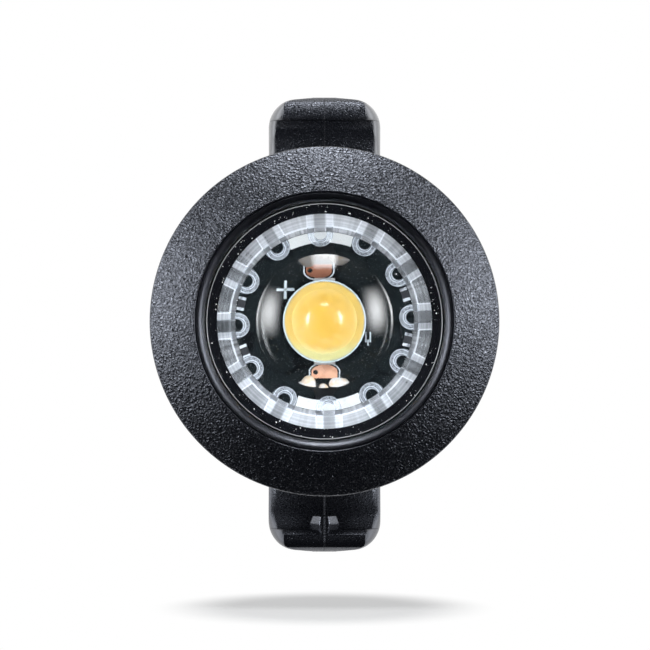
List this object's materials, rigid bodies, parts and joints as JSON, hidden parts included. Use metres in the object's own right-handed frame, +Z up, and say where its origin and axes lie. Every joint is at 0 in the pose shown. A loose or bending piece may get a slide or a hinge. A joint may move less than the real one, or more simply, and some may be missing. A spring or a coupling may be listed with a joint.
{
  "type": "bicycle headlight",
  "caption": "Round coin-cell bicycle headlight: coned front ring, convex push-button lens over an LED board, and a saddle base with hook arms for a band on a handlebar.",
  "frame": {"origin": "on the handlebar's axis, level with the light's own axis", "axes": "+X along the handlebar, +Z up, the light shines along -Y"},
  "size_m": [0.04, 0.0423, 0.0536],
  "materials": {
    "black_grained": "fine leathery mould grain, satin",
    "black_base": "fine mould grain on the faces, smooth rounded sides",
    "black_case": "fine mould grain, satin",
    "black_gloss": "polished",
    "clear_lens": "clear moulded polycarbonate",
    "clear_silicone": "clear silicone, glossy",
    "seal_rubber": "soft, matt",
    "pad_rubber": "matt with shallow grip grooves",
    "board_black": "glossy black solder mask with white marks",
    "copper": "bare copper, lightly dulled",
    "tinned_metal": "tinned, bright",
    "solder": "bright solder",
    "chip_body": "moulded chip resin",
    "switch_plastic": "moulded",
    "plunger_plastic": "moulded",
    "led_white": "white moulded, glossy",
    "phosphor": "phosphor-filled silicone",
    "grey_cap": "moulded, satin",
    "cell_steel": "nickel-plated steel, fine circular brushing",
    "spring_steel": "nickel-plated spring bronze",
    "screw_steel": "zinc-plated steel"
  },
  "bodies": {
    "case": {"rear_case": "black_case", "case_seal": "seal_rubber", "battery_cap": "grey_cap", "coin_cell_rear": "cell_steel", "coin_cell_front": "cell_steel", "negative_spring": "spring_steel", "negative_strip": "spring_steel", "positive_contact": "spring_steel", "mount_base": "black_base", "base_screws": "screw_steel", "saddle_pad": "pad_rubber"},
    "bezel_ring": {"bezel": "black_grained"},
    "push_unit": {"lens": "clear_lens", "lens_carrier": "black_gloss", "lens_gasket": "seal_rubber", "circuit_board": "board_black", "copper_pads": "copper", "contact_tabs": "tinned_metal", "solder_joints": "solder", "chip_resistors": "chip_body", "driver_chip": "chip_body", "switch_body": "switch_plastic", "led_terminals": "tinned_metal", "led_frame": "led_white", "led_phosphor": "phosphor", "led_dome": "clear_silicone"},
    "plunger": {"switch_plunger": "plunger_plastic"}
  },
  "joints": [
    {"name": "bezel_twist", "type": "hinge", "parent": "case", "child": "bezel_ring", "pos_m": [0, -0.034, 0], "axis": [0, -1, 0], "range_deg": [0, 24]},
    {"name": "lens_press", "type": "slide", "parent": "bezel_ring", "child": "push_unit", "axis": [0, 1, 0], "range_m": [0, 0.0004], "stiffness_N_per_m": 5000, "springref_m": -0.0003, "deforming": ["positive_contact", "negative_strip"]},
    {"name": "plunger_press", "type": "slide", "parent": "push_unit", "child": "plunger", "axis": [0, -1, 0], "range_m": [0, 0.0004]}
  ],
  "couplings": [
    {"joint": "plunger_press", "follows": "lens_press", "ratio": 1}
  ]
}
